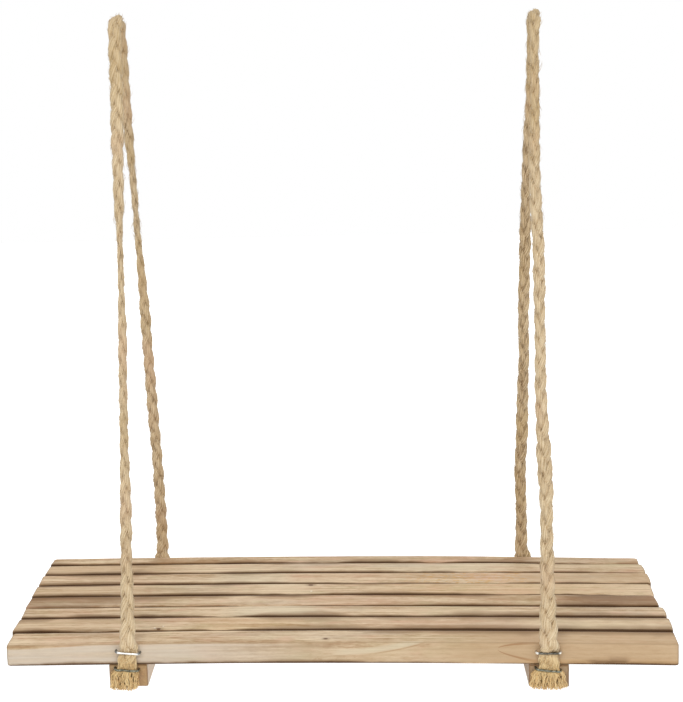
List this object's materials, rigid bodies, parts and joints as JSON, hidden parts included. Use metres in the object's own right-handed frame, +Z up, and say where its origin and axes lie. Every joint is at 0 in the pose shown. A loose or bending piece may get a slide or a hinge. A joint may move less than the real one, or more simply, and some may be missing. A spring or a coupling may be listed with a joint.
{
  "type": "hanging rope shelf",
  "caption": "Slatted wooden shelf slung from two rope loops that hang over hooks; it sways sideways while its deck stays level.",
  "frame": {"origin": "midway between the two places where the rope loops rest on their hooks", "axes": "+X along the slats to the right seen from the front, +Y towards the wall, +Z up"},
  "size_m": [0.708, 0.2826, 0.7082],
  "materials": {
    "slat_wood": "dry unvarnished softwood, sanded, edges scorched brown",
    "batten_wood": "dry rough-sawn softwood",
    "rope_fibre": "three-strand plaited natural fibre, hairy and matt",
    "staple_wire": "bright galvanised wire",
    "nail_steel": "plain round wire nail"
  },
  "bodies": {
    "hook_bends": {"left_rope_top": "rope_fibre", "right_rope_top": "rope_fibre"},
    "left_rope": {"left_rope_front_leg": "rope_fibre", "left_rope_back_leg": "rope_fibre"},
    "right_rope": {"right_rope_front_leg": "rope_fibre", "right_rope_back_leg": "rope_fibre"},
    "deck": {"slat_1": "slat_wood", "slat_2": "slat_wood", "slat_3": "slat_wood", "slat_4": "slat_wood", "slat_5": "slat_wood", "slat_6": "slat_wood", "slat_7": "slat_wood", "slat_8": "slat_wood", "left_batten": "batten_wood", "right_batten": "batten_wood", "left_nail_1": "nail_steel", "left_nail_2": "nail_steel", "left_nail_3": "nail_steel", "left_nail_4": "nail_steel", "left_nail_5": "nail_steel", "left_nail_6": "nail_steel", "left_nail_7": "nail_steel", "left_nail_8": "nail_steel", "right_nail_1": "nail_steel", "right_nail_2": "nail_steel", "right_nail_3": "nail_steel", "right_nail_4": "nail_steel", "right_nail_5": "nail_steel", "right_nail_6": "nail_steel", "right_nail_7": "nail_steel", "right_nail_8": "nail_steel", "left_front_upper_staple": "staple_wire", "left_front_lower_staple": "staple_wire", "left_back_upper_staple": "staple_wire", "left_back_lower_staple": "staple_wire", "right_front_upper_staple": "staple_wire", "right_front_lower_staple": "staple_wire", "right_back_upper_staple": "staple_wire", "right_back_lower_staple": "staple_wire", "left_rope_front_end": "rope_fibre", "left_rope_back_end": "rope_fibre", "right_rope_front_end": "rope_fibre", "right_rope_back_end": "rope_fibre"}
  },
  "joints": [
    {"name": "left_rope_sway", "type": "hinge", "parent": "hook_bends", "child": "left_rope", "pos_m": [-0.2185, 0, -0.02381], "axis": [0, 1, 0], "range_deg": [-20, 20]},
    {"name": "deck_level", "type": "hinge", "parent": "left_rope", "child": "deck", "pos_m": [-0.2185, 0, -0.637], "axis": [0, 1, 0], "range_deg": [-20, 20]},
    {"name": "right_rope_sway", "type": "hinge", "parent": "hook_bends", "child": "right_rope", "pos_m": [0.2185, 0, -0.02381], "axis": [0, 1, 0], "range_deg": [-20, 20]}
  ],
  "couplings": [
    {"joint": "deck_level", "follows": "left_rope_sway", "ratio": -1},
    {"joint": "right_rope_sway", "follows": "left_rope_sway", "ratio": 1}
  ]
}
